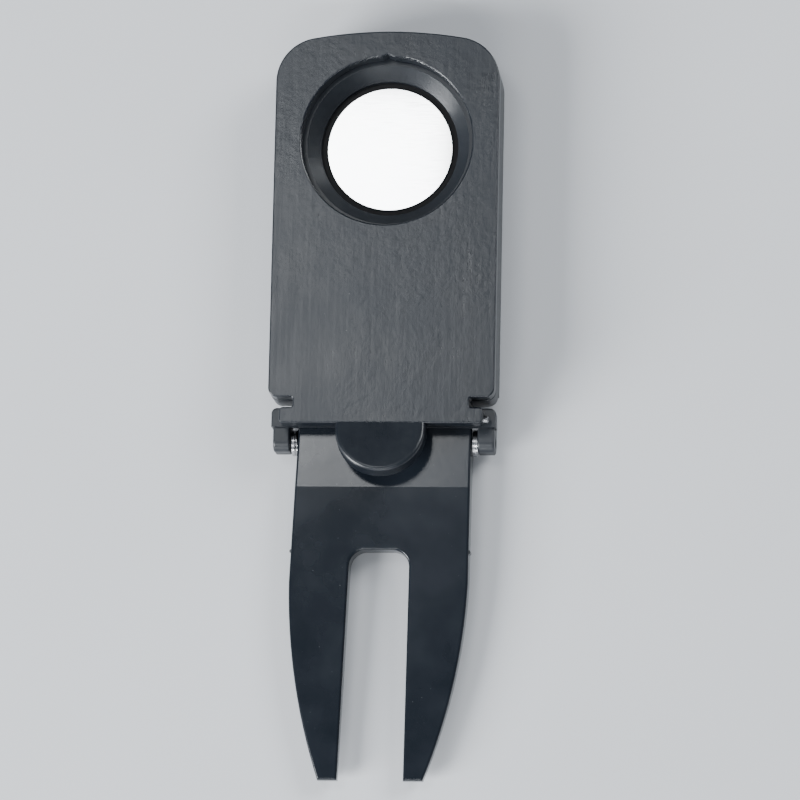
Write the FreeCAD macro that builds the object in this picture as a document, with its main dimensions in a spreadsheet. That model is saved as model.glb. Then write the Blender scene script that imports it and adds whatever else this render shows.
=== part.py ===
import FreeCAD, Part
import math
import os

import Sketcher

# A folding divot repair tool, lying on its back: +Z out of the front face, +Y towards the
# ball-marker end, the fork's tines towards -Y. The origin is the bottom centre of its box.
#
# A cast rear frame carries everything. The clip plate lies on its front and rocks on a
# sprung axle under the thumb tab. The fork turns on a pin between the frame's two lugs and
# folds by half a turn into the tray behind the frame's plate.

DIMENSIONS = [
    # name, millimetres (degrees where the name says so), meaning
    ("tool_length", 106.2, "overall length, fork open"),
    ("body_length", 56.7, "front plate, top edge to bottom edge"),
    ("body_width", 31.95, "front plate and frame"),
    ("arch_radius", 62.0, "gentle arch of the top edge"),
    ("corner_radius", 6.4, "upper corners"),
    ("lower_corner_radius", 1.3, "corners above the side notches"),
    ("edge_radius", 0.22, "softened outer edges"),
    ("back_edge_radius", 1.5, "outer back edges of the frame"),
    ("frame_edge_radius", 0.25, "outer front edges of the frame"),
    ("tray_depth", 3.8, "rails, from the ground to the underside of the frame plate"),
    ("frame_plate", 4.2, "thickness of the frame plate"),
    ("plate_gap", 0.2, "clip plate above frame plate"),
    ("clip_plate", 2.4, "thickness of the clip plate"),
    ("rail_width", 2.65, "side rails and end wall of the tray"),
    ("rail_start", 5.4, "rails begin this far above the plate's bottom edge"),
    ("tray_corner", 3.6, "inner corners of the tray"),
    ("neck_width", 24.9, "body between the side notches"),
    ("notch_low", 2.25, "lower side of the clip plate's notch above its bottom edge"),
    ("notch_high", 3.7, "upper side of the clip plate's notch above its bottom edge"),
    ("notch_corner", 0.35, "inner corners of the notches"),
    ("tongue_width", 28.7, "clip plate below its notches"),
    ("tongue_corner", 0.5, "corners of the tongue"),
    ("heel_width", 31.85, "frame below its notches"),
    ("heel_top", 6.6, "height of the frame's heel below the clip hinge"),
    ("heel_short", 0.15, "heel ends this far above the clip plate's bottom edge"),
    ("heel_corner", 0.8, "rounded shoulders of the heel"),
    ("heel_notch_low", 2.85, "lower side of the frame's notch above the bottom edge"),
    ("heel_notch_high", 3.6, "upper side of the frame's notch above the bottom edge"),
    ("relief_top", 2.25, "hinge relief ends this far above the bottom edge"),
    ("window_drop", 15.95, "marker window centre below the top edge"),
    ("window_radius", 12.25, "marker window in the clip plate"),
    ("window_edge_radius", 0.2, "softened front edge of the window"),
    ("nick_depth", 0.35, "locating nick at the top of the window"),
    ("nick_width", 2.6, "mouth of the nick"),
    ("bevel_radius", 11.6, "upper rim of the bevel in the frame plate"),
    ("pocket_radius", 9.84, "magnet pocket"),
    ("bevel_floor", 5.6, "height where the bevel meets the pocket"),
    ("pocket_floor", 4.25, "height of the pocket's floor"),
    ("magnet_radius", 9.0, "magnet disc"),
    ("magnet_thickness", 0.75, "magnet disc"),
    ("magnet_edge", 0.1, "rounded rim of the magnet"),
    ("bead_height", 0.45, "adhesive bead round the magnet"),
    ("tab_radius", 6.35, "thumb tab, a half disc on the bottom edge"),
    ("tab_root", 0.9, "overlap of the tab with the plate"),
    ("tab_straight", 0.75, "straight sides of the tab below the bottom edge"),
    ("tab_edge_radius", 0.55, "softened rim of the thumb tab"),
    ("tab_lift_degrees", 11.5, "tab bent up from the plate"),
    ("axle_rise", 0.95, "clip axle above the plate's bottom edge"),
    ("axle_height", 8.1, "clip axle above the ground"),
    ("axle_radius", 0.5, "clip axle"),
    ("axle_left", 14.2, "left end of the clip axle"),
    ("axle_right", 15.05, "right end of the clip axle"),
    ("barrel_radius", 0.95, "hinge barrels under the tongue, and the frame's posts"),
    ("barrel_inner", 6.0, "inner end of a barrel from the centre"),
    ("post_inner", 4.1, "inner side of a post from the centre"),
    ("post_outer", 5.8, "outer side of a post from the centre"),
    ("running_gap", 0.05, "radial clearance of the running fits"),
    ("spring_room_radius", 1.55, "hollow round the spring and the posts"),
    ("wire_radius", 0.25, "clip spring wire"),
    ("coil_radius", 1.05, "clip spring, centre line"),
    ("coil_pitch", 0.66, "clip spring"),
    ("coil_turns", 6.5, "clip spring"),
    ("short_leg", 0.6, "clip spring leg on the frame's heel"),
    ("long_leg", 4.2, "clip spring leg under the thumb tab"),
    ("leg_room", 1.5, "width of the grooves for the spring's legs"),
    ("long_groove_top", 9.55, "roof of the groove under the tab"),
    ("short_groove_floor", 6.15, "floor of the groove in the heel"),
    ("fork_length", 48.0, "pin axis to tine tips"),
    ("fork_shift", 0.1, "fork stands off centre, pushed over by the wave washer"),
    ("fork_lean", 1.25, "tips stand this far to the left of the fork's centre line"),
    ("fork_top", 5.25, "height of the fork's front face at the pin"),
    ("fork_thickness", 3.4, "fork between its hub and the crease"),
    ("fork_rear", 1.9, "fork behind the pin axis"),
    ("fork_rear_radius", 0.35, "upper rear edge of the fork"),
    ("fork_edge_radius", 0.35, "softened front edges of the fork"),
    ("hub_ramp", 1.3, "slope from the hub to the underside of the blade"),
    ("fork_root_width", 24.7, "fork at the pin"),
    ("fork_widest", 25.35, "fork where the outer edges start to curve in"),
    ("widest_reach", 20.2, "widest place from the pin axis"),
    ("flank_radius", 85.0, "outer edge of each tine"),
    ("crease_reach", 6.7, "crease across the front face from the pin axis"),
    ("tip_thickness", 1.6, "tine tips"),
    ("tip_outer_width", 14.8, "over the tine tips"),
    ("tip_inner_width", 9.3, "between the tine tips"),
    ("slot_width", 8.5, "between the tines at the root of the slot"),
    ("slot_reach", 15.6, "end of the slot from the pin axis"),
    ("slot_corner", 2.4, "corners at the end of the slot"),
    ("nib_radius", 0.3, "small cast nibs on the fork's edges"),
    ("nib_reach", 15.8, "nibs from the pin axis"),
    ("nib_height", 1.6, "nibs, bottom to top"),
    ("pin_radius", 0.75, "fork pin"),
    ("pin_length", 31.0, "fork pin"),
    ("pin_chamfer", 0.15, "ends of both pins"),
    ("folded_gap", 0.3, "folded fork below the frame plate"),
    ("fold_room_radius", 3.2, "hollow under the heel for the fork's rear edge"),
    ("lug_top", 5.9, "height of the lugs round the fork pin"),
    ("lug_front", 1.65, "front face of a lug from the pin axis"),
    ("lug_drop", 1.5, "underside of a lug below the pin axis"),
    ("lug_corner", 1.3, "rounded front corners of a lug"),
    ("lug_edge_radius", 0.3, "softened side edges of a lug"),
    ("lug_inner", 13.3, "inner face of a lug from the centre"),
    ("lug_outer", 15.7, "outer face of a lug from the centre"),
    ("lug_root", 2.1, "lug joins the heel up to this far above the bottom edge"),
    ("washer_radius", 1.9, "washers on the fork pin"),
    ("washer_bore", 0.8, "washers on the fork pin"),
    ("left_washer", 0.4, "thickness of the left plain washer"),
    ("right_washer", 0.7, "thickness of the right plain washer"),
    ("washer_play", 0.07, "free space beside each washer"),
    ("wave_sheet", 0.15, "thickness of the wave washer's sheet"),
    ("wave_count", 3.0, "waves round the wave washer"),
]

SHEET = "sizes"
SAME = 1e-9  # two lengths closer than this are the same
SAME_POINT = 1e-6  # and two points
EDGE_SLACK = 0.02  # how far an edge's box may be off the place it is looked for
VOLUME_SLACK = 0.03  # share by which a sweep's volume may differ from its plain formula
POINTS_PER_WAVE = 12
VERTICAL_AXIS = -2
HORIZONTAL_AXIS = -1
START, END, CENTRE = 1, 2, 3

doc = FreeCAD.newDocument("divot_repair_tool")
sheet = doc.addObject("Spreadsheet::Sheet", SHEET)


class Size:
    """A length that knows its value and the sheet expression that gives it."""

    def __init__(self, value, text):
        self.value = value
        self.text = text

    def __add__(self, other):
        other = as_size(other)
        return Size(self.value + other.value, f"({self.text} + {other.text})")

    def __sub__(self, other):
        other = as_size(other)
        return Size(self.value - other.value, f"({self.text} - {other.text})")

    def __mul__(self, other):
        other = as_size(other)
        return Size(self.value * other.value, f"({self.text} * {other.text})")

    def __truediv__(self, other):
        other = as_size(other)
        return Size(self.value / other.value, f"({self.text} / {other.text})")

    def __neg__(self):
        return Size(-self.value, f"(0 - {self.text})")


def as_size(number):
    return number if isinstance(number, Size) else Size(float(number), str(number))


def fill_sheet():
    """Writes the driving dimensions into the sheet and names their cells."""
    for row, (name, value, meaning) in enumerate(DIMENSIONS, start=1):
        sheet.set(f"A{row}", name)
        sheet.set(f"B{row}", str(value))
        sheet.set(f"C{row}", meaning)
        sheet.setAlias(f"B{row}", name)
    doc.recompute()


def dim(name):
    return Size(float(getattr(sheet, name)), f"{SHEET}.{name}")


ZERO = Size(0.0, "0")


# ---------------------------------------------------------------- sketches and features

def new_body(label):
    body = doc.addObject("PartDesign::Body", label)
    body.Label = label
    return body


def new_sketch(body, name, role, height=ZERO):
    """A sketch on one of the body's origin planes, moved along the plane's normal."""
    sketch = body.newObject("Sketcher::SketchObject", f"{body.Name}_{name}")
    plane = next(f for f in body.Origin.OriginFeatures if f.Role == role)
    sketch.AttachmentSupport = [(plane, "")]
    sketch.MapMode = "FlatFace"
    sketch.AttachmentOffset = FreeCAD.Placement(
        FreeCAD.Vector(0, 0, height.value), FreeCAD.Rotation())
    sketch.setExpression("AttachmentOffset.Base.z", height.text)
    return sketch


def tie(sketch, kind, geometry, point, size):
    """Ties one coordinate of a sketch point to a sheet expression."""
    if abs(size.value) < SAME:
        axis = VERTICAL_AXIS if kind == "DistanceX" else HORIZONTAL_AXIS
        sketch.addConstraint(Sketcher.Constraint("PointOnObject", geometry, point, axis))
        return
    if size.value > 0:
        rule = Sketcher.Constraint(kind, -1, 1, geometry, point, size.value)
    else:
        rule = Sketcher.Constraint(kind, geometry, point, -1, 1, -size.value)
        size = -size
    index = sketch.addConstraint(rule)
    sketch.setExpression(f"Constraints[{index}]", size.text)


def arc_middle(start, end, radius, side):
    """The middle point of the short arc from start to end; side 1 bulges to the left."""
    chord = end - start
    half = chord.Length / 2
    rise = radius - math.sqrt(max(radius * radius - half * half, 0.0))
    left = FreeCAD.Vector(-chord.y, chord.x, 0).normalize()
    return (start + end) / 2 + left * (rise * side)


def add_loop(sketch, corners, arcs=None):
    """A closed loop through the corners, each tied to the sheet.

    arcs maps a side's number to (radius, side, centre): side 1 bulges to the left of the
    way round, -1 to the right. centre is None, or (kind, size) where an arc of half a
    turn is held by one coordinate of its centre instead of by its radius.
    """
    arcs = arcs or {}
    points = [FreeCAD.Vector(x.value, y.value, 0) for x, y in corners]
    sides = []
    for number, start in enumerate(points):
        end = points[(number + 1) % len(points)]
        if number not in arcs:
            geometry = sketch.addGeometry(Part.LineSegment(start, end))
            sides.append((geometry, START, END))
            continue
        radius, side, _ = arcs[number]
        middle = arc_middle(start, end, radius.value, side)
        geometry = sketch.addGeometry(Part.Arc(start, middle, end))
        forward = (sketch.getPoint(geometry, START) - start).Length < SAME_POINT
        sides.append((geometry, START, END) if forward else (geometry, END, START))
    for number, (geometry, first, last) in enumerate(sides):
        following, its_first, _ = sides[(number + 1) % len(sides)]
        sketch.addConstraint(
            Sketcher.Constraint("Coincident", geometry, last, following, its_first))
        x, y = corners[number]
        tie(sketch, "DistanceX", geometry, first, x)
        tie(sketch, "DistanceY", geometry, first, y)
    for number, (radius, _, centre) in arcs.items():
        geometry = sides[number][0]
        if centre:
            kind, size = centre
            tie(sketch, kind, geometry, CENTRE, size)
            continue
        index = sketch.addConstraint(Sketcher.Constraint("Radius", geometry, radius.value))
        sketch.setExpression(f"Constraints[{index}]", radius.text)


def add_rectangle(sketch, left, right, bottom, top):
    add_loop(sketch, [(left, bottom), (right, bottom), (right, top), (left, top)])


def add_circle(sketch, x, y, radius):
    centre = FreeCAD.Vector(x.value, y.value, 0)
    circle = Part.Circle(centre, FreeCAD.Vector(0, 0, 1), radius.value)
    geometry = sketch.addGeometry(circle)
    tie(sketch, "DistanceX", geometry, CENTRE, x)
    tie(sketch, "DistanceY", geometry, CENTRE, y)
    index = sketch.addConstraint(Sketcher.Constraint("Radius", geometry, radius.value))
    sketch.setExpression(f"Constraints[{index}]", radius.text)


def mirrored(corners):
    """The same corners on the other side of x = 0, in the opposite order."""
    return [(-x, y) for x, y in reversed(corners)]


def settle(*features):
    """Recomputes, and stops at once if one of these objects has failed."""
    doc.recompute()
    for feature in features:
        if "Invalid" in feature.State or "Error" in feature.State:
            raise RuntimeError(f"{feature.Name} has failed: {feature.State}")


def pad(sketch, length, symmetric=False):
    """Adds material along the sketch's normal, from the sketch or to both sides."""
    body = sketch.getParentGeoFeatureGroup()
    feature = body.newObject("PartDesign::Pad", f"{sketch.Name}_pad")
    feature.Profile = sketch
    feature.setExpression("Length", length.text)
    if symmetric:
        feature.SideType = "Symmetric"
    sketch.Visibility = False
    settle(sketch, feature)
    return feature


def pocket(sketch, length, symmetric=False):
    """Cuts along the sketch's normal, from the sketch or to both sides, and must cut."""
    body = sketch.getParentGeoFeatureGroup()
    before = body.Shape.Volume
    feature = body.newObject("PartDesign::Pocket", f"{sketch.Name}_cut")
    feature.Profile = sketch
    feature.Reversed = not symmetric
    feature.setExpression("Length", length.text)
    if symmetric:
        feature.SideType = "Symmetric"
    sketch.Visibility = False
    settle(sketch, feature)
    if not body.Shape.Volume < before - SAME:
        raise RuntimeError(f"{feature.Name} cuts nothing")
    return feature


def edge_names(feature, wanted):
    names = []
    for number, edge in enumerate(feature.Shape.Edges, start=1):
        if wanted(edge):
            names.append(f"Edge{number}")
    return names


def round_edges(body, name, wanted, radius):
    """Fillets the edges of the body's tip that the test picks out."""
    base = body.Tip
    names = edge_names(base, wanted)
    if not names:
        raise RuntimeError(f"{body.Name}: no edges for {name}")
    feature = body.newObject("PartDesign::Fillet", f"{body.Name}_{name}")
    feature.Base = (base, names)
    feature.setExpression("Radius", radius.text)
    settle(feature)
    return feature


def chamfer_edges(body, name, wanted, size):
    """Chamfers the edges of the body's tip that the test picks out."""
    base = body.Tip
    feature = body.newObject("PartDesign::Chamfer", f"{body.Name}_{name}")
    feature.Base = (base, edge_names(base, wanted))
    feature.setExpression("Size", size.text)
    settle(feature)
    return feature


def is_upright(edge, x, y):
    """A straight edge along Z whose foot is at |x|, y."""
    box = edge.BoundBox
    upright = max(box.XLength, box.YLength) < EDGE_SLACK < box.ZLength
    off = max(abs(abs(box.Center.x) - x), abs(box.Center.y - y))
    return upright and off < EDGE_SLACK


def middle_of(edge):
    return edge.valueAt((edge.FirstParameter + edge.LastParameter) / 2)


def lies_at_height(edge, height):
    box = edge.BoundBox
    return max(box.ZLength, abs(box.Center.z - height)) < EDGE_SLACK


# ---------------------------------------------------------------- places worked out once

fill_sheet()

TOP = dim("tool_length") / 2
BOTTOM = TOP - dim("body_length")
HALF_WIDTH = dim("body_width") / 2
PLATE_LOW = dim("tray_depth")
PLATE_HIGH = PLATE_LOW + dim("frame_plate")
CLIP_LOW = PLATE_HIGH + dim("plate_gap")
CLIP_HIGH = CLIP_LOW + dim("clip_plate")
WINDOW_Y = TOP - dim("window_drop")
AXLE_Y = BOTTOM + dim("axle_rise")
AXLE_Z = dim("axle_height")
PIN_Y = dim("fork_length") - TOP
FORK_HIGH = dim("fork_top")
FORK_LOW = FORK_HIGH - dim("fork_thickness")
PIN_Z = (PLATE_LOW - dim("folded_gap") + FORK_LOW) / 2
TIP_Y = -TOP
BEYOND = Size(2.0, "2")  # how far a cutting shape reaches past what it cuts
OVERLAP = Size(0.25, "0.25")  # how far added material reaches into what it joins


def arched_top(half_width, corner_radius):
    """Where the upper corner's arc meets the side and the arched top edge."""
    arch = dim("arch_radius").value
    centre_x = half_width.value - corner_radius.value
    arch_centre_y = TOP.value - arch
    reach = arch - corner_radius.value
    corner_y = arch_centre_y + math.sqrt(reach * reach - centre_x * centre_x)
    meet_x = centre_x * arch / reach
    meet_y = arch_centre_y + (corner_y - arch_centre_y) * arch / reach
    return corner_y, meet_x, meet_y


def plate_loop(sketch, lower_corners):
    """The body's outline: the given corners on the right, the arched top, and a mirror."""
    corner = dim("corner_radius")
    arch = dim("arch_radius")
    across = HALF_WIDTH - corner
    reach_text = f"({arch.text} - {corner.text})"
    rise_text = f"sqrt({reach_text} ^ 2 - {across.text} ^ 2)"
    corner_y, meet_x, meet_y = arched_top(HALF_WIDTH, corner)
    arch_base = f"({TOP.text} - {arch.text})"
    side = (HALF_WIDTH, Size(corner_y, f"({arch_base} + {rise_text})"))
    meet = (Size(meet_x, f"({across.text} * {arch.text} / {reach_text})"),
            Size(meet_y, f"({arch_base} + {rise_text} * {arch.text} / {reach_text})"))
    right = lower_corners + [side, meet]
    corners = right + mirrored(right)
    first_corner = len(right) - 2
    arcs = {
        first_corner: (corner, -1, None),
        first_corner + 1: (arch, -1, None),
        first_corner + 2: (corner, -1, None),
    }
    add_loop(sketch, corners, arcs)


# ---------------------------------------------------------------- rear frame

def frame_plate_and_rails(body):
    """The plate with its rails, as one block, then the tray cut out of its back."""
    outline = new_sketch(body, "outline", "XY_Plane")
    heel_edge = BOTTOM + dim("heel_short")
    shoulder_y = BOTTOM + dim("heel_notch_low")
    plate_loop(outline, [
        (dim("heel_width") / 2, heel_edge),
        (dim("heel_width") / 2, shoulder_y),
        (HALF_WIDTH, shoulder_y),
    ])
    pad(outline, PLATE_HIGH)
    tray = new_sketch(body, "tray", "XY_Plane")
    inside = HALF_WIDTH - dim("rail_width")
    outside = HALF_WIDTH + BEYOND
    rail_y = BOTTOM + dim("rail_start")
    below = BOTTOM - BEYOND
    end_y = TOP - dim("rail_width")
    right = [(outside, below), (outside, rail_y), (inside, rail_y), (inside, end_y)]
    add_loop(tray, right + mirrored(right))
    pocket(tray, PLATE_LOW)


def frame_notches(body):
    """Cuts the side notches through the plate, and drops the heel below the hinge."""
    notch = new_sketch(body, "notches", "XY_Plane")
    neck = dim("neck_width") / 2
    outside = HALF_WIDTH + BEYOND
    low = BOTTOM + dim("heel_notch_low")
    high = BOTTOM + dim("heel_notch_high")
    add_rectangle(notch, neck, outside, low, high)
    add_rectangle(notch, -outside, -neck, low, high)
    pocket(notch, PLATE_HIGH)
    relief = new_sketch(body, "hinge_relief", "XY_Plane", dim("heel_top"))
    relief_y = BOTTOM + dim("relief_top")
    below = BOTTOM - BEYOND
    right = [(outside, below), (outside, high), (neck, high), (neck, relief_y)]
    add_loop(relief, right + mirrored(right))
    pocket(relief, BEYOND)
    heel_x = (dim("heel_width") / 2).value
    shoulder_y = low.value
    round_edges(body, "shoulders", lambda e: is_upright(e, heel_x, shoulder_y),
                dim("heel_corner"))


def fold_room(body):
    """Hollows the heel's underside between the lugs, so that the fork can turn."""
    room = new_sketch(body, "fold_room", "YZ_Plane")
    add_circle(room, PIN_Y, PIN_Z, dim("fold_room_radius"))
    pocket(room, dim("lug_inner") * 2, symmetric=True)


def marker_recess(body):
    """The bevelled recess under the window and the flat pocket for the magnet."""
    room = new_sketch(body, "magnet_pocket", "XY_Plane", dim("pocket_floor"))
    add_circle(room, ZERO, WINDOW_Y, dim("pocket_radius"))
    pocket(room, BEYOND + BEYOND)
    slope = new_sketch(body, "bevel", "YZ_Plane")
    floor = dim("bevel_floor")
    rim = dim("bevel_radius")
    add_loop(slope, [
        (WINDOW_Y, floor),
        (WINDOW_Y + dim("pocket_radius"), floor),
        (WINDOW_Y + rim, PLATE_HIGH),
        (WINDOW_Y + rim, PLATE_HIGH + BEYOND),
        (WINDOW_Y, PLATE_HIGH + BEYOND),
    ])
    before = body.Shape.Volume
    groove = body.newObject("PartDesign::Groove", "marker_bevel")
    groove.Profile = slope
    groove.ReferenceAxis = (slope, ["Edge5"])
    groove.Angle = 360
    settle(slope, groove)
    if not body.Shape.Volume < before:
        raise RuntimeError("the bevel cuts nothing")


def hinge_posts(body):
    """Two posts on the heel that hold the clip axle."""
    length = dim("post_outer") - dim("post_inner")
    radius = dim("barrel_radius")
    for name, start in (("right_post", dim("post_inner")), ("left_post", -dim("post_outer"))):
        post = new_sketch(body, name, "YZ_Plane", start)
        foot = dim("heel_top") - OVERLAP
        corners = [
            (AXLE_Y - radius, foot),
            (AXLE_Y + radius, foot),
            (AXLE_Y + radius, AXLE_Z),
            (AXLE_Y - radius, AXLE_Z),
        ]
        add_loop(post, corners, {2: (radius, -1, ("DistanceY", AXLE_Z))})
        pad(post, length)
    bore = new_sketch(body, "axle_bore", "YZ_Plane")
    add_circle(bore, AXLE_Y, AXLE_Z, dim("axle_radius"))
    pocket(bore, dim("post_outer") * 2 + BEYOND, symmetric=True)
    groove = new_sketch(body, "short_leg_groove", "XY_Plane", dim("short_groove_floor"))
    leg_x = coil_half_length()
    half = dim("leg_room") / 2
    add_rectangle(groove, -leg_x - half, -leg_x + half, BOTTOM - BEYOND, AXLE_Y + half)
    pocket(groove, BEYOND / 2)


def fork_lugs(body):
    """Two lugs below the heel that hold the fork pin."""
    corner = dim("lug_corner")
    front = PIN_Y - dim("lug_front")
    low = PIN_Z - dim("lug_drop")
    high = dim("lug_top")
    root_y = BOTTOM + dim("lug_root")
    inside_heel_y = BOTTOM + dim("heel_short") + OVERLAP
    inside_heel_z = PLATE_LOW + OVERLAP
    length = dim("lug_outer") - dim("lug_inner")
    for name, start in (("right_lug", dim("lug_inner")), ("left_lug", -dim("lug_outer"))):
        lug = new_sketch(body, name, "YZ_Plane", start)
        corners = [
            (front + corner, low),
            (root_y - BEYOND, low),
            (root_y, low + BEYOND),
            (root_y, inside_heel_z),
            (inside_heel_y, inside_heel_z),
            (inside_heel_y, high),
            (front + corner, high),
            (front, high - corner),
            (front, low + corner),
        ]
        add_loop(lug, corners, {6: (corner, -1, None), 8: (corner, -1, None)})
        pad(lug, length)
    lug_edges(body)
    bore = new_sketch(body, "pin_bore", "YZ_Plane")
    add_circle(bore, PIN_Y, PIN_Z, dim("pin_radius"))
    pocket(bore, dim("body_width") + BEYOND, symmetric=True)


def lug_edges(body):
    """Softens the sides of the lugs in front of the heel."""
    sides = (dim("lug_inner").value, dim("lug_outer").value)
    heel_edge = (BOTTOM + dim("heel_short")).value

    def beside_lug(edge):
        place = middle_of(edge)
        across = edge.BoundBox.XLength > SAME_POINT
        off = min(abs(abs(place.x) - x) for x in sides)
        return place.y < heel_edge and off < SAME_POINT and not across

    round_edges(body, "lug_sides", beside_lug, dim("lug_edge_radius"))


def frame_edges(body):
    """Rounds the tray's corners, and the outer edges of the back, the front and the heel."""
    inside = (HALF_WIDTH - dim("rail_width")).value
    end_y = (TOP - dim("rail_width")).value
    round_edges(body, "tray_corners", lambda e: is_upright(e, inside, end_y),
                dim("tray_corner"))
    notch_y = (BOTTOM + dim("heel_notch_high")).value
    round_edges(body, "lower_corners", lambda e: is_upright(e, HALF_WIDTH.value, notch_y),
                dim("lower_corner_radius"))
    for name, height, radius in (
            ("back_edges", ZERO, dim("back_edge_radius")),
            ("front_edges", PLATE_HIGH, dim("frame_edge_radius")),
            ("heel_edges", dim("heel_top"), dim("frame_edge_radius"))):
        round_edges(body, name, lambda e: is_outer(e, height.value), radius)


def is_outer(edge, height):
    """An edge at this height on the frame's outline, but not square across it."""
    place = middle_of(edge)
    near_side = abs(place.x) > HALF_WIDTH.value - dim("rail_width").value / 2
    near_top = place.y > TOP.value - dim("rail_width").value / 2
    across = edge.BoundBox.YLength < SAME_POINT
    return lies_at_height(edge, height) and (near_side or near_top) and not across


def make_rear_frame():
    body = new_body("rear_frame")
    frame_plate_and_rails(body)
    frame_notches(body)
    fold_room(body)
    marker_recess(body)
    hinge_posts(body)
    fork_lugs(body)
    frame_edges(body)
    return body


# ---------------------------------------------------------------- clip plate

def clip_outline(body):
    tongue = dim("tongue_width") / 2
    neck = dim("neck_width") / 2
    low = BOTTOM + dim("notch_low")
    high = BOTTOM + dim("notch_high")
    outline = new_sketch(body, "outline", "XY_Plane", CLIP_LOW)
    plate_loop(outline, [
        (tongue, BOTTOM),
        (tongue, low),
        (neck, low),
        (neck, high),
        (HALF_WIDTH, high),
    ])
    pad(outline, dim("clip_plate"))


def clip_corners(body):
    """Rounds the plan corners of the notches and the tongue."""
    tongue = (dim("tongue_width") / 2).value
    neck = (dim("neck_width") / 2).value
    low = (BOTTOM + dim("notch_low")).value
    high = (BOTTOM + dim("notch_high")).value
    round_edges(body, "lower_corners", lambda e: is_upright(e, HALF_WIDTH.value, high),
                dim("lower_corner_radius"))
    round_edges(body, "notch_corners",
                lambda e: is_upright(e, neck, high) or is_upright(e, neck, low),
                dim("notch_corner"))
    round_edges(body, "tongue_corners",
                lambda e: is_upright(e, tongue, low) or is_upright(e, tongue, BOTTOM.value),
                dim("tongue_corner"))


def thumb_tab(body):
    """A half disc on the bottom edge, as thick as the plate and bent up."""
    tab = new_sketch(body, "thumb_tab", "XY_Plane")
    lift = dim("tab_lift_degrees")
    tab.AttachmentOffset = FreeCAD.Placement(
        FreeCAD.Vector(0, BOTTOM.value, CLIP_HIGH.value),
        FreeCAD.Rotation(FreeCAD.Vector(1, 0, 0), -lift.value))
    tab.setExpression("AttachmentOffset.Base.y", BOTTOM.text)
    tab.setExpression("AttachmentOffset.Base.z", CLIP_HIGH.text)
    radius = dim("tab_radius")
    root = dim("tab_root")
    straight = -dim("tab_straight")
    corners = [(-radius, root), (-radius, straight), (radius, straight), (radius, root)]
    add_loop(tab, corners, {1: (radius, -1, ("DistanceY", straight))})
    feature = body.newObject("PartDesign::Pad", "thumb_tab_pad")
    feature.Profile = tab
    feature.Reversed = True
    feature.setExpression("Length", dim("clip_plate").text)
    settle(tab, feature)

    rise = math.tan(math.radians(lift.value))

    def on_rim(edge):
        place = middle_of(edge)
        height = CLIP_HIGH.value + (BOTTOM.value - place.y) * rise
        beyond_plate = place.y < (BOTTOM - dim("tab_radius") / 2).value
        return beyond_plate and abs(place.z - height) < SAME_POINT

    round_edges(body, "tab_rim", on_rim, dim("tab_edge_radius"))


def marker_window(body):
    """The round window for a ball marker, with a small nick at the top."""
    window = new_sketch(body, "window", "XY_Plane", CLIP_LOW - BEYOND)
    add_circle(window, ZERO, WINDOW_Y, dim("window_radius"))
    pocket(window, dim("clip_plate") + BEYOND * 2)
    nick = new_sketch(body, "nick", "XY_Plane", CLIP_LOW - BEYOND)
    half = dim("nick_width") / 2
    rim_y = WINDOW_Y + dim("window_radius")
    add_loop(nick, [
        (-half, rim_y - OVERLAP),
        (half, rim_y - OVERLAP),
        (ZERO, rim_y + dim("nick_depth")),
    ])
    pocket(nick, dim("clip_plate") + BEYOND * 2)


def hinge_barrels(body):
    """Two barrels under the tongue, their bore, and the hollow for the spring between."""
    radius = dim("barrel_radius")
    outer = dim("tongue_width") / 2 - dim("edge_radius") / 2
    length = outer - dim("barrel_inner")
    for name, start in (("right_barrel", dim("barrel_inner")), ("left_barrel", -outer)):
        barrel = new_sketch(body, name, "YZ_Plane", start)
        high = CLIP_LOW + OVERLAP
        corners = [
            (AXLE_Y - radius, high),
            (AXLE_Y - radius, AXLE_Z),
            (AXLE_Y + radius, AXLE_Z),
            (AXLE_Y + radius, high),
        ]
        add_loop(barrel, corners, {1: (radius, -1, ("DistanceY", AXLE_Z))})
        pad(barrel, length)
    bore = new_sketch(body, "axle_bore", "YZ_Plane")
    add_circle(bore, AXLE_Y, AXLE_Z, dim("axle_radius") + dim("running_gap"))
    pocket(bore, dim("body_width") + BEYOND, symmetric=True)
    hollow = new_sketch(body, "spring_room", "YZ_Plane")
    add_circle(hollow, AXLE_Y, AXLE_Z, dim("spring_room_radius"))
    pocket(hollow, dim("barrel_inner") * 2, symmetric=True)
    groove = new_sketch(body, "long_leg_groove", "XY_Plane", CLIP_LOW - BEYOND)
    leg_x = coil_half_length()
    half = dim("leg_room") / 2
    reach = AXLE_Y - dim("long_leg") - dim("wire_radius") * 2
    add_rectangle(groove, leg_x - half, leg_x + half, reach, AXLE_Y)
    pocket(groove, dim("long_groove_top") - CLIP_LOW + BEYOND)


def clip_edges(body):
    """Softens the outer front edges of the plate, and less so those of the window."""
    rim = (dim("window_radius") + dim("nick_depth")).value
    centre = FreeCAD.Vector(0, WINDOW_Y.value, CLIP_HIGH.value)

    def on_front(edge):
        return lies_at_height(edge, CLIP_HIGH.value)

    def in_window(edge):
        return on_front(edge) and (middle_of(edge) - centre).Length < rim + SAME_POINT

    round_edges(body, "front_edges", lambda e: on_front(e) and not in_window(e),
                dim("edge_radius"))
    round_edges(body, "window_edges", in_window, dim("window_edge_radius"))


def make_clip_plate():
    body = new_body("clip_plate")
    clip_outline(body)
    clip_corners(body)
    marker_window(body)
    clip_edges(body)
    thumb_tab(body)
    hinge_barrels(body)
    return body


# ---------------------------------------------------------------- clip axle and spring

def make_round_pin(label, y, z, radius, left, right):
    """A plain pin along X with chamfered ends."""
    body = new_body(label)
    section = new_sketch(body, "section", "YZ_Plane", left)
    add_circle(section, y, z, radius)
    pad(section, right - left)
    chamfer_edges(body, "ends", lambda e: e.BoundBox.XLength < EDGE_SLACK,
                  dim("pin_chamfer"))
    return body


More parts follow.
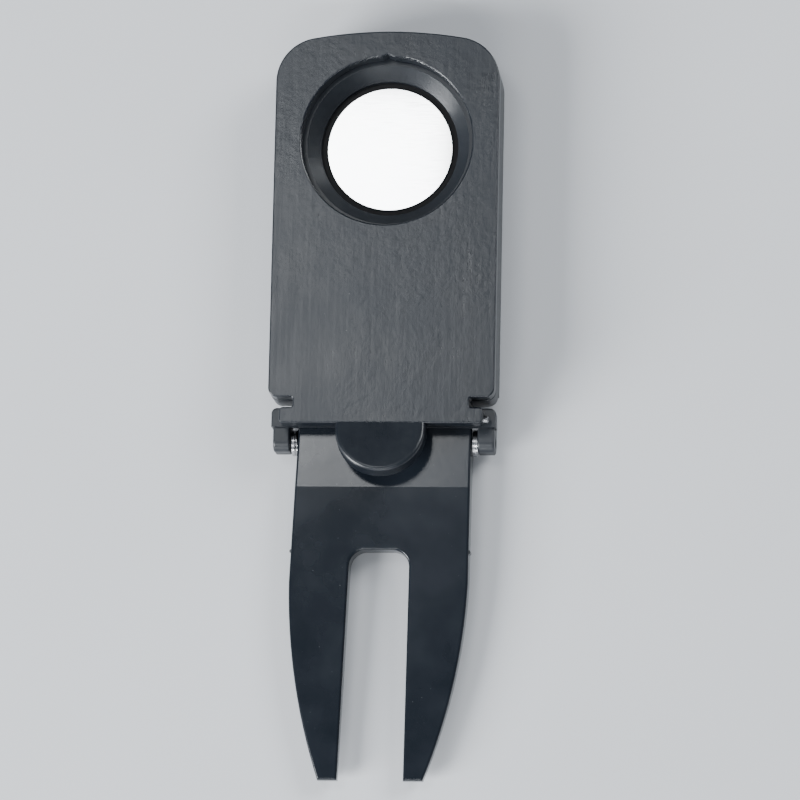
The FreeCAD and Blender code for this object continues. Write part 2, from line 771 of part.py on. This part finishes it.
def make_clip_axle():
    return make_round_pin("clip_axle", AXLE_Y, AXLE_Z, dim("axle_radius"),
                          -dim("axle_left"), dim("axle_right"))


def coil_half_length():
    """Half the spring's length between the centres of its end turns."""
    turns = dim("coil_turns")
    pitch = dim("coil_pitch")
    return Size(turns.value * pitch.value / 2, f"({turns.text} * {pitch.text} / 2)")


def make_clip_spring():
    """A torsion spring round the clip axle, its legs along -Y at the bottom and the top."""
    pitch = dim("coil_pitch").value
    radius = dim("coil_radius").value
    length = pitch * dim("coil_turns").value
    slope = pitch / (2 * math.pi * radius)
    helix = Part.makeHelix(pitch, length, radius)
    turn_end = 2 * math.pi * dim("coil_turns").value
    first = FreeCAD.Vector(radius, 0, 0)
    last = FreeCAD.Vector(radius * math.cos(turn_end), radius * math.sin(turn_end), length)
    enter = FreeCAD.Vector(0, 1, slope).normalize()
    leave = FreeCAD.Vector(-math.sin(turn_end), math.cos(turn_end), slope).normalize()
    foot = first - enter * dim("short_leg").value
    tip = last + leave * dim("long_leg").value
    edges = [Part.LineSegment(foot, first).toShape()]
    edges += helix.Edges
    edges += [Part.LineSegment(last, tip).toShape()]
    path = Part.Wire(edges)
    wire_radius = dim("wire_radius").value
    ring = Part.Wire(Part.makeCircle(wire_radius, foot, enter))
    sweep = Part.BRepOffsetAPI.MakePipeShell(path)
    sweep.setFrenetMode(True)
    sweep.add(ring)
    sweep.build()
    sweep.makeSolid()
    spring = doc.addObject("Part::Feature", "clip_spring")
    spring.Shape = sweep.shape()
    spring.Placement = FreeCAD.Placement(
        FreeCAD.Vector(-length / 2, AXLE_Y.value, AXLE_Z.value),
        FreeCAD.Rotation(FreeCAD.Vector(0, 1, 0), 90))
    expected = math.pi * wire_radius ** 2 * path.Length
    if abs(spring.Shape.Volume - expected) > VOLUME_SLACK * expected:
        raise RuntimeError("the spring's volume is not its section times its length")
    return spring


# ---------------------------------------------------------------- magnet

def make_marker_magnet():
    body = new_body("marker_magnet")
    disc = new_sketch(body, "disc", "XY_Plane", dim("pocket_floor"))
    add_circle(disc, ZERO, WINDOW_Y, dim("magnet_radius"))
    pad(disc, dim("magnet_thickness"))
    round_edges(body, "rim", lambda e: True, dim("magnet_edge"))
    return body


def make_adhesive_bead():
    """The ring of set adhesive between the magnet and the wall of its pocket."""
    body = new_body("adhesive_bead")
    ring = new_sketch(body, "ring", "XY_Plane", dim("pocket_floor"))
    add_circle(ring, ZERO, WINDOW_Y, dim("pocket_radius"))
    add_circle(ring, ZERO, WINDOW_Y, dim("magnet_radius"))
    pad(ring, dim("bead_height"))
    return body


# ---------------------------------------------------------------- fork

def fork_plan(body):
    """The fork seen from the front: flanks, blunt tips and the slot between the tines."""
    root = dim("fork_root_width") / 2
    widest = dim("fork_widest") / 2
    tip_out = dim("tip_outer_width") / 2
    tip_in = dim("tip_inner_width") / 2
    slot = dim("slot_width") / 2
    corner = dim("slot_corner")
    root_y = PIN_Y + dim("fork_rear")
    widest_y = PIN_Y - dim("widest_reach")
    slot_y = PIN_Y - dim("slot_reach")
    right = [
        (slot - corner, slot_y),
        (slot, slot_y - corner),
        (tip_in, TIP_Y),
        (tip_out, TIP_Y),
        (widest, widest_y),
        (root, PIN_Y - dim("washer_radius")),
        (root, root_y),
    ]
    corners = [(leaning(x, y), y) for x, y in right + mirrored(right)]
    flank = dim("flank_radius")
    last = len(corners) - 2
    arcs = {
        0: (corner, 1, None),
        3: (flank, -1, None),
        last - 3: (flank, -1, None),
        last: (corner, 1, None),
    }
    hub_low = PIN_Z - dim("fork_rear")
    plan = new_sketch(body, "plan", "XY_Plane", hub_low)
    add_loop(plan, corners, arcs)
    pad(plan, FORK_HIGH - hub_low)


def leaning(x, y):
    """Moves x to the left in proportion to the distance from the pin axis."""
    return x - dim("fork_lean") * (PIN_Y - y) / dim("fork_length")


def front_slope():
    """Where the front face starts to fall towards the tips, and by how much per length."""
    crease_y = PIN_Y - dim("crease_reach")
    drop = FORK_HIGH - FORK_LOW - dim("tip_thickness")
    return crease_y, drop / (crease_y - TIP_Y)


def fork_side(body):
    """Cuts the front slope, the underside below the blade and the round rear, and bores it."""
    rear = dim("fork_rear")
    rear_corner = dim("fork_rear_radius")
    side = new_sketch(body, "side", "YZ_Plane")
    crease_y, fall = front_slope()
    tip_z = FORK_LOW + dim("tip_thickness")
    past_tip = TIP_Y - BEYOND
    add_loop(side, [
        (crease_y, FORK_HIGH),
        (past_tip, tip_z - fall * BEYOND),
        (past_tip, FORK_HIGH + BEYOND),
        (crease_y, FORK_HIGH + BEYOND),
    ])
    hub_low = PIN_Z - rear
    add_loop(side, [
        (PIN_Y - rear, hub_low),
        (PIN_Y - rear, hub_low - BEYOND),
        (past_tip, hub_low - BEYOND),
        (past_tip, FORK_LOW),
        (PIN_Y - rear - dim("hub_ramp"), FORK_LOW),
    ])
    upper = [
        (PIN_Y + rear - rear_corner, FORK_HIGH),
        (PIN_Y + rear, FORK_HIGH - rear_corner),
        (PIN_Y + rear, FORK_HIGH),
    ]
    lower = [(PIN_Y, hub_low), (PIN_Y + rear, hub_low), (PIN_Y + rear, PIN_Z)]
    add_loop(side, upper, {0: (rear_corner, 1, None)})
    add_loop(side, lower, {2: (rear, -1, None)})
    pocket(side, (dim("fork_widest") + BEYOND) * 2, symmetric=True)
    bore = new_sketch(body, "pin_bore", "YZ_Plane")
    add_circle(bore, PIN_Y, PIN_Z, dim("pin_radius") + dim("running_gap"))
    pocket(bore, dim("fork_widest") + BEYOND, symmetric=True)


def fork_edges(body):
    """Softens the front edges along the flanks, the tips and the slot, but not the crease."""
    crease_y, fall = front_slope()

    def on_front(edge):
        place = middle_of(edge)
        height = FORK_HIGH.value - fall.value * max(crease_y.value - place.y, 0.0)
        across_the_fork = edge.BoundBox.XLength > dim("tip_outer_width").value
        return abs(place.z - height) < SAME_POINT and not across_the_fork

    round_edges(body, "front_edges", on_front, dim("fork_edge_radius"))


def fork_nibs(body):
    """A small cast nib on each of the fork's outer edges."""
    middle = (FORK_LOW + FORK_HIGH) / 2
    nibs = new_sketch(body, "nibs", "XY_Plane", middle - dim("nib_height") / 2)
    x = dim("fork_widest") / 2 - dim("nib_radius") / 2
    y = PIN_Y - dim("nib_reach")
    add_circle(nibs, leaning(x, y), y, dim("nib_radius"))
    add_circle(nibs, leaning(-x, y), y, dim("nib_radius"))
    pad(nibs, dim("nib_height"))


def make_fork():
    body = new_body("fork")
    fork_plan(body)
    fork_side(body)
    fork_edges(body)
    fork_nibs(body)
    body.Placement = FreeCAD.Placement(
        FreeCAD.Vector(dim("fork_shift").value, 0, 0), FreeCAD.Rotation())
    body.setExpression("Placement.Base.x", dim("fork_shift").text)
    return body


def make_fork_pin():
    half = dim("pin_length") / 2
    return make_round_pin("fork_pin", PIN_Y, PIN_Z, dim("pin_radius"), -half, half)


def make_plain_washer(label, inner_face, thickness):
    body = new_body(label)
    ring = new_sketch(body, "ring", "YZ_Plane", inner_face)
    add_circle(ring, PIN_Y, PIN_Z, dim("washer_radius"))
    add_circle(ring, PIN_Y, PIN_Z, dim("washer_bore"))
    pad(ring, thickness)
    return body


def make_left_washer():
    start = dim("washer_play") - dim("lug_inner")
    return make_plain_washer("left_washer", start, dim("left_washer"))


def make_right_washer():
    start = dim("lug_inner") - dim("washer_play") - dim("right_washer")
    return make_plain_washer("right_washer", start, dim("right_washer"))


def wave_line(radius, swing, waves, middle_x):
    """A closed curve round the pin axis that swings along X."""
    steps = int(waves) * POINTS_PER_WAVE
    points = []
    for step in range(steps):
        angle = 2 * math.pi * step / steps
        points.append(FreeCAD.Vector(
            middle_x + swing * math.cos(waves * angle),
            PIN_Y.value + radius * math.cos(angle),
            PIN_Z.value + radius * math.sin(angle)))
    curve = Part.BSplineCurve()
    curve.interpolate(points, True)
    return curve.toShape()


def make_wave_washer():
    """A sprung washer that takes up the play between the left washer and the fork."""
    play = dim("washer_play").value
    left = dim("left_washer").value + 2 * play - dim("lug_inner").value
    drift = (dim("fork_lean") * dim("washer_radius") / dim("fork_length")).value
    right = dim("fork_shift").value - dim("fork_root_width").value / 2 - play - drift
    sheet_thickness = dim("wave_sheet").value
    swing = (right - left - sheet_thickness) / 2
    middle = (left + right - sheet_thickness) / 2
    waves = dim("wave_count").value
    inner = wave_line(dim("washer_bore").value, swing, waves, middle)
    outer = wave_line(dim("washer_radius").value, swing, waves, middle)
    ring = Part.makeRuledSurface(inner, outer)
    washer = doc.addObject("Part::Feature", "wave_washer")
    washer.Shape = ring.extrude(FreeCAD.Vector(sheet_thickness, 0, 0))
    washer.Placement = FreeCAD.Placement()
    return washer


# ---------------------------------------------------------------- checks and files

def check(parts):
    """Stops on any failed object, and on any sub-part that isn't valid solids."""
    doc.recompute()
    for item in doc.Objects:
        for word in ("Invalid", "Error"):
            if word in item.State:
                raise RuntimeError(f"{item.Name} is {item.State}")
    for item in parts:
        if item.Shape.isNull() or not item.Shape.isValid() or not item.Shape.Solids:
            raise RuntimeError(f"{item.Label} has no valid solid")


def write(parts):
    os.makedirs("parts", exist_ok=True)
    for item in parts:
        item.Shape.exportStep(f"parts/{item.Label}.step")
        box = item.Shape.BoundBox
        print(f"{item.Label}: {len(item.Shape.Solids)} solid, {item.Shape.Volume:.1f} mm3,",
              f"x {box.XMin:.2f}..{box.XMax:.2f}, y {box.YMin:.2f}..{box.YMax:.2f},",
              f"z {box.ZMin:.2f}..{box.ZMax:.2f}")


all_parts = [
    make_rear_frame(),
    make_clip_plate(),
    make_clip_axle(),
    make_clip_spring(),
    make_marker_magnet(),
    make_adhesive_bead(),
    make_fork(),
    make_fork_pin(),
    make_left_washer(),
    make_right_washer(),
    make_wave_washer(),
]
check(all_parts)
write(all_parts)
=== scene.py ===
"""Divot repair tool: materials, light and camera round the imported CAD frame."""

from math import cos, radians, sin, tan

import bpy
from mathutils import Matrix, Vector

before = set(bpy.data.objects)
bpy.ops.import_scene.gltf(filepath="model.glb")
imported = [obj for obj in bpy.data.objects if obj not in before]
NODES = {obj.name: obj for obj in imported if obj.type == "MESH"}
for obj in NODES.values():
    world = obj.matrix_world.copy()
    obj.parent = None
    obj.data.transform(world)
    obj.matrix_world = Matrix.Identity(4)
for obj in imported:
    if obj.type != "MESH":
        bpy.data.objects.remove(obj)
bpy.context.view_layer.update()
MM = 0.001

# ------------------------------------------------------------------ node helpers


class Recipe:
    """A material's node tree, with short ways to add and join nodes."""

    def __init__(self, name):
        self.material = bpy.data.materials.new(name)
        self.material.use_nodes = True
        self.tree = self.material.node_tree
        self.tree.nodes.clear()
        self.output = self.tree.nodes.new("ShaderNodeOutputMaterial")
        self.shader = self.tree.nodes.new("ShaderNodeBsdfPrincipled")
        self.join(self.shader.outputs[0], self.output.inputs["Surface"])
        coordinates = self.tree.nodes.new("ShaderNodeTexCoord")
        self.place = coordinates.outputs["Object"]

    def join(self, start, end):
        self.tree.links.new(start, end)

    def set(self, **values):
        """Constant sockets of the shader, by name with underscores."""
        for name, value in values.items():
            self.shader.inputs[name.replace("_", " ")].default_value = value

    def feed(self, name, socket):
        """Joins a socket to the shader's input of that name."""
        self.join(socket, self.shader.inputs[name])

    def stretched(self, scale, turn=(0, 0, 0)):
        """Object coordinates scaled per axis: a scale below 1 stretches the noise on them."""
        mapping = self.tree.nodes.new("ShaderNodeMapping")
        mapping.inputs["Scale"].default_value = scale
        mapping.inputs["Rotation"].default_value = turn
        self.join(self.place, mapping.inputs["Vector"])
        return mapping.outputs[0]

    def noise(self, size, detail, roughness, vector=None):
        """Noise from 0 to 1, mostly near 0.5, whose features are about `size` metres."""
        node = self.tree.nodes.new("ShaderNodeTexNoise")
        node.inputs["Scale"].default_value = 1 / size
        node.inputs["Detail"].default_value = detail
        node.inputs["Roughness"].default_value = roughness
        self.join(vector or self.place, node.inputs["Vector"])
        return node.outputs["Fac"]

    def spread(self, socket, low, high, start=0.0, end=1.0):
        """Maps low..high to start..end and clamps it."""
        node = self.tree.nodes.new("ShaderNodeMapRange")
        node.inputs["From Min"].default_value = low
        node.inputs["From Max"].default_value = high
        node.inputs["To Min"].default_value = start
        node.inputs["To Max"].default_value = end
        self.join(socket, node.inputs["Value"])
        return node.outputs[0]

    def combine(self, first, second, how="ADD"):
        """Adds or multiplies two values, each a number or a socket."""
        node = self.tree.nodes.new("ShaderNodeMath")
        node.operation = how
        for socket, value in zip(node.inputs, (first, second)):
            if isinstance(value, (int, float)):
                socket.default_value = value
            else:
                self.join(value, socket)
        return node.outputs[0]

    def blend(self, factor, first, second):
        """Mixes two colours, each a tuple or a socket."""
        node = self.tree.nodes.new("ShaderNodeMix")
        node.data_type = "RGBA"
        colours = [s for s in node.inputs if s.type == "RGBA"]
        self.join(factor, node.inputs[0])
        for socket, value in zip(colours, (first, second)):
            if isinstance(value, tuple):
                socket.default_value = (*value, 1)
            else:
                self.join(value, socket)
        return [s for s in node.outputs if s.type == "RGBA"][0]

    def bump(self, height, strength, depth, under=None):
        """A normal for relief `depth` metres deep, on top of the normal `under` if there is one."""
        node = self.tree.nodes.new("ShaderNodeBump")
        node.inputs["Strength"].default_value = strength
        node.inputs["Distance"].default_value = depth
        self.join(height, node.inputs["Height"])
        if under is not None:
            self.join(under, node.inputs["Normal"])
        return node.outputs[0]


# --------------------------------------------------------------------- materials

# Sizes of what the black enamel shows, from dust specks to broad patches.
DUST_SIZE = 0.35 * MM
PEEL_SIZE = 1.1 * MM
CLOUD_SIZE = 9 * MM
PATCH_SIZE = 14 * MM

ENAMEL_DARK = (0.0060, 0.0085, 0.0125)
ENAMEL_LIGHT = (0.0105, 0.0135, 0.0185)
DUST_COLOUR = (0.08, 0.085, 0.09)
GRAIN_IN_ROUGHNESS = 0.06
CALM_PEEL = 0.45

# How the grain is stretched: along the tool's length, or not at all.
BRUSHED = (1, 0.04, 1)
CAST = (1, 1, 1)


def enamel_colour(coat, cloud):
    """Nearly black and a little blue, clouded, with a few pale specks of dust."""
    tint = coat.blend(coat.spread(cloud, 0.35, 0.65), ENAMEL_DARK, ENAMEL_LIGHT)
    dust = coat.spread(coat.noise(DUST_SIZE, 1.0, 0.5), 0.79, 0.83)
    return coat.blend(dust, tint, DUST_COLOUR)


def enamel_roughness(coat, roughness, grain, cloud):
    """The enamel's roughness, varied a little by its grain and its clouds."""
    swing = GRAIN_IN_ROUGHNESS * roughness
    along_grain = coat.spread(grain, 0.3, 0.7, -swing, swing)
    over_clouds = coat.spread(cloud, 0.3, 0.7, -0.02, 0.03)
    return coat.combine(coat.combine(along_grain, over_clouds), roughness)


def black_coat(name, roughness, specular, grain_size, grain_stretch, grain_depth, peel_depth):
    """Satin black enamel over a casting: grain along one axis, orange peel, clouding and dust."""
    coat = Recipe(name)
    grain = coat.noise(grain_size, 1.5, 0.5, coat.stretched(grain_stretch))
    peel = coat.noise(PEEL_SIZE, 4.0, 0.6)
    cloud = coat.noise(CLOUD_SIZE, 3.0, 0.6)
    patch = coat.spread(coat.noise(PATCH_SIZE, 2.0, 0.5), 0.42, 0.60)
    coat.feed("Base Color", enamel_colour(coat, cloud))
    coat.feed("Roughness", enamel_roughness(coat, roughness, grain, cloud))
    coat.set(Specular_IOR_Level=specular)
    patchy_peel = coat.combine(peel, coat.spread(patch, 0.0, 1.0, CALM_PEEL, 1.0), "MULTIPLY")
    relief = coat.bump(grain, 1.0, grain_depth)
    coat.feed("Normal", coat.bump(patchy_peel, 1.0, peel_depth, relief))
    return coat.material


# Steel colours, clean and stained.
BLACK_STEEL = ((0.30, 0.30, 0.31), (0.16, 0.16, 0.17))
SPRING_STEEL = ((0.50, 0.50, 0.51), (0.33, 0.33, 0.34))
WASHER_STEEL = ((0.58, 0.58, 0.59), (0.40, 0.40, 0.42))
ROUND_X = (1, 0.08, 0.08)


def bare_steel(name, colours, roughness):
    """Drawn or stamped steel, with turning marks round X and a little grey staining."""
    clean, stained = colours
    steel = Recipe(name)
    marks = steel.noise(0.12 * MM, 3.0, 0.6, steel.stretched(ROUND_X))
    stain = steel.noise(1.1 * MM, 4.0, 0.6)
    steel.feed("Base Color", steel.blend(steel.spread(stain, 0.4, 0.7), clean, stained))
    steel.feed("Roughness", steel.spread(marks, 0.3, 0.7, roughness - 0.06, roughness + 0.08))
    steel.set(Metallic=1.0)
    steel.feed("Normal", steel.bump(marks, 0.3, 0.004 * MM))
    return steel.material


NICKEL = (0.98, 0.98, 0.98)
HAZY_NICKEL = (0.94, 0.945, 0.95)
SCRATCH_STRETCH = (0.03, 1, 1)
SCRATCH_TURN = (0, 0, radians(24))


def nickel_mirror():
    """The magnet's polished plating: almost a mirror, with faint haze and fine scratches."""
    plating = Recipe("nickel_disc_look")
    haze = plating.noise(3.5 * MM, 3.0, 0.55)
    scratch = plating.noise(0.1 * MM, 2.0, 0.5, plating.stretched(SCRATCH_STRETCH, SCRATCH_TURN))
    plating.feed("Base Color", plating.blend(plating.spread(haze, 0.3, 0.7), NICKEL, HAZY_NICKEL))
    plating.feed("Roughness", plating.spread(scratch, 0.45, 0.75, 0.05, 0.10))
    plating.set(Metallic=1.0)
    return plating.material


# Near-black colours for the adhesive: its own black, and also painted shade for the gap between the
# magnet and its pocket.
GLUE_AND_GAP_SHADE_DARK = (0.003, 0.003, 0.004)
GLUE_AND_GAP_SHADE_LIGHT = (0.008, 0.008, 0.009)


def set_adhesive_and_gap_shade():
    """The ring of black adhesive round the magnet, slightly lumpy where it set; its near-black
    colour, darker than the enamel, also paints the shade of the gap between the magnet and its
    pocket.
    """
    glue_and_shade = Recipe("adhesive_and_gap_shade_look")
    lumps = glue_and_shade.noise(0.8 * MM, 3.0, 0.5)
    glue_and_shade.feed("Base Color", glue_and_shade.blend(glue_and_shade.spread(lumps, 0.4, 0.7), GLUE_AND_GAP_SHADE_DARK, GLUE_AND_GAP_SHADE_LIGHT))
    glue_and_shade.feed("Roughness", glue_and_shade.spread(lumps, 0.3, 0.7, 0.42, 0.55))
    glue_and_shade.set(Specular_IOR_Level=0.2)
    glue_and_shade.feed("Normal", glue_and_shade.bump(lumps, 0.4, 0.02 * MM))
    return glue_and_shade.material


def wear(node, material):
    """Gives a CAD node its material."""
    mesh = NODES[node].data
    mesh.materials.clear()
    mesh.materials.append(material)


wear("rear_frame", black_coat(
    "black_coat_frame", roughness=0.41, specular=0.65, grain_size=0.6 * MM,
    grain_stretch=CAST, grain_depth=0.002 * MM, peel_depth=0.009 * MM))
wear("clip_plate", black_coat(
    "black_coat_plate", roughness=0.30, specular=0.5, grain_size=0.36 * MM,
    grain_stretch=BRUSHED, grain_depth=0.0055 * MM, peel_depth=0.038 * MM))
wear("fork", black_coat(
    "black_coat_fork", roughness=0.155, specular=0.4, grain_size=0.5 * MM,
    grain_stretch=CAST, grain_depth=0.0012 * MM, peel_depth=0.006 * MM))
wear("clip_axle", bare_steel("black_steel_axle", BLACK_STEEL, roughness=0.28))
wear("fork_pin", bare_steel("black_steel_pin", BLACK_STEEL, roughness=0.28))
wear("clip_spring", bare_steel("spring_steel_clip", SPRING_STEEL, roughness=0.24))
wear("wave_washer", bare_steel("spring_steel_wave", SPRING_STEEL, roughness=0.24))
wear("left_washer", bare_steel("washer_steel_left", WASHER_STEEL, roughness=0.26))
wear("right_washer", bare_steel("washer_steel_right", WASHER_STEEL, roughness=0.26))
wear("marker_magnet", nickel_mirror())
# The adhesive bead's near-black colour also paints the shade of the gap round the magnet.
wear("adhesive_bead", set_adhesive_and_gap_shade())

# -------------------------------------------------------------------- floor

FLOOR_HALF = 0.6
FLOOR_DARK = (0.60, 0.61, 0.63)
FLOOR_LIGHT = (0.66, 0.67, 0.69)


def pale_floor():
    """A plain, pale, matt table top under the tool."""
    far = FLOOR_HALF
    mesh = bpy.data.meshes.new("floor")
    corners = [(-far, -far, 0), (far, -far, 0), (far, far, 0), (-far, far, 0)]
    mesh.from_pydata(corners, [], [(0, 1, 2, 3)])
    floor = bpy.data.objects.new("floor", mesh)
    bpy.context.collection.objects.link(floor)
    paint = Recipe("floor_look")
    cloud = paint.noise(60 * MM, 2.0, 0.5)
    paint.feed("Base Color", paint.blend(cloud, FLOOR_DARK, FLOOR_LIGHT))
    paint.set(Roughness=0.85)
    mesh.materials.append(paint.material)


pale_floor()

# -------------------------------------------------------------------- camera

LOOK_AT = Vector((2.74 * MM, -0.35 * MM, 10.6 * MM))
CAMERA_DISTANCE = 631 * MM
TOWARD_FORK = radians(10.6)
TOWARD_RIGHT = radians(5.8)
ROLL = radians(1.22)
FOCAL_LENGTH = 202.5
SENSOR_WIDTH = 36
NEAREST_SEEN = 10 * MM


def aim(thing, place, target, roll=0.0):
    """Puts `thing` at `place`, looking at `target` down its own -Z, with +Y up."""
    back = (place - target).normalized()
    right = Vector((0, 1, 0)).cross(back).normalized()
    up = back.cross(right)
    turn = Matrix((right, up, back)).transposed().to_4x4()
    thing.matrix_world = Matrix.Translation(place) @ turn @ Matrix.Rotation(roll, 4, "Z")


def add_camera():
    """A long lens almost straight above the tool, a little toward the fork and the right."""
    data = bpy.data.cameras.new("camera")
    data.lens = FOCAL_LENGTH
    data.sensor_width = SENSOR_WIDTH
    data.clip_start = NEAREST_SEEN
    camera = bpy.data.objects.new("camera", data)
    bpy.context.collection.objects.link(camera)
    sight = Vector((tan(TOWARD_RIGHT), -tan(TOWARD_FORK), 1)).normalized()
    aim(camera, LOOK_AT + CAMERA_DISTANCE * sight, LOOK_AT, ROLL)
    bpy.context.scene.camera = camera


add_camera()

# -------------------------------------------------------------------- lights

DAYLIGHT = (0.955, 0.98, 1.0)
SKY = (0.72, 0.84, 1.0, 1)
SKY_STRENGTH = 0.19
CARD_DISTANCE = 0.9


def soft_card(name, from_zenith, toward, size, power):
    """A rectangular softbox, tipped `from_zenith` degrees toward a compass angle (0 = +Y)."""
    data = bpy.data.lights.new(name, "AREA")
    data.shape = "RECTANGLE"
    data.size = size[0]
    data.size_y = size[1]
    data.energy = power
    data.color = DAYLIGHT
    light = bpy.data.objects.new(name, data)
    bpy.context.collection.objects.link(light)
    tip = radians(from_zenith)
    turn = radians(toward)
    way = Vector((sin(tip) * sin(turn), sin(tip) * cos(turn), cos(tip)))
    aim(light, way * CARD_DISTANCE, Vector((0, 0, 0)))


def studio():
    """A dim blue surround, the card that the flat faces mirror, and four cards for the rest."""
    world = bpy.data.worlds.new("studio")
    world.use_nodes = True
    background = world.node_tree.nodes["Background"]
    background.inputs["Color"].default_value = SKY
    background.inputs["Strength"].default_value = SKY_STRENGTH
    bpy.context.scene.world = world
    soft_card("card", from_zenith=17.6, toward=-46, size=(0.25, 0.165), power=1.40)
    soft_card("fill_left", from_zenith=60, toward=-122, size=(0.5, 0.4), power=17)
    soft_card("strip_low", from_zenith=34, toward=180, size=(0.5, 0.04), power=2.0)
    soft_card("fill_right", from_zenith=50, toward=55, size=(0.4, 0.4), power=5)
    soft_card("front_low", from_zenith=76, toward=180, size=(0.5, 0.16), power=2.5)


studio()
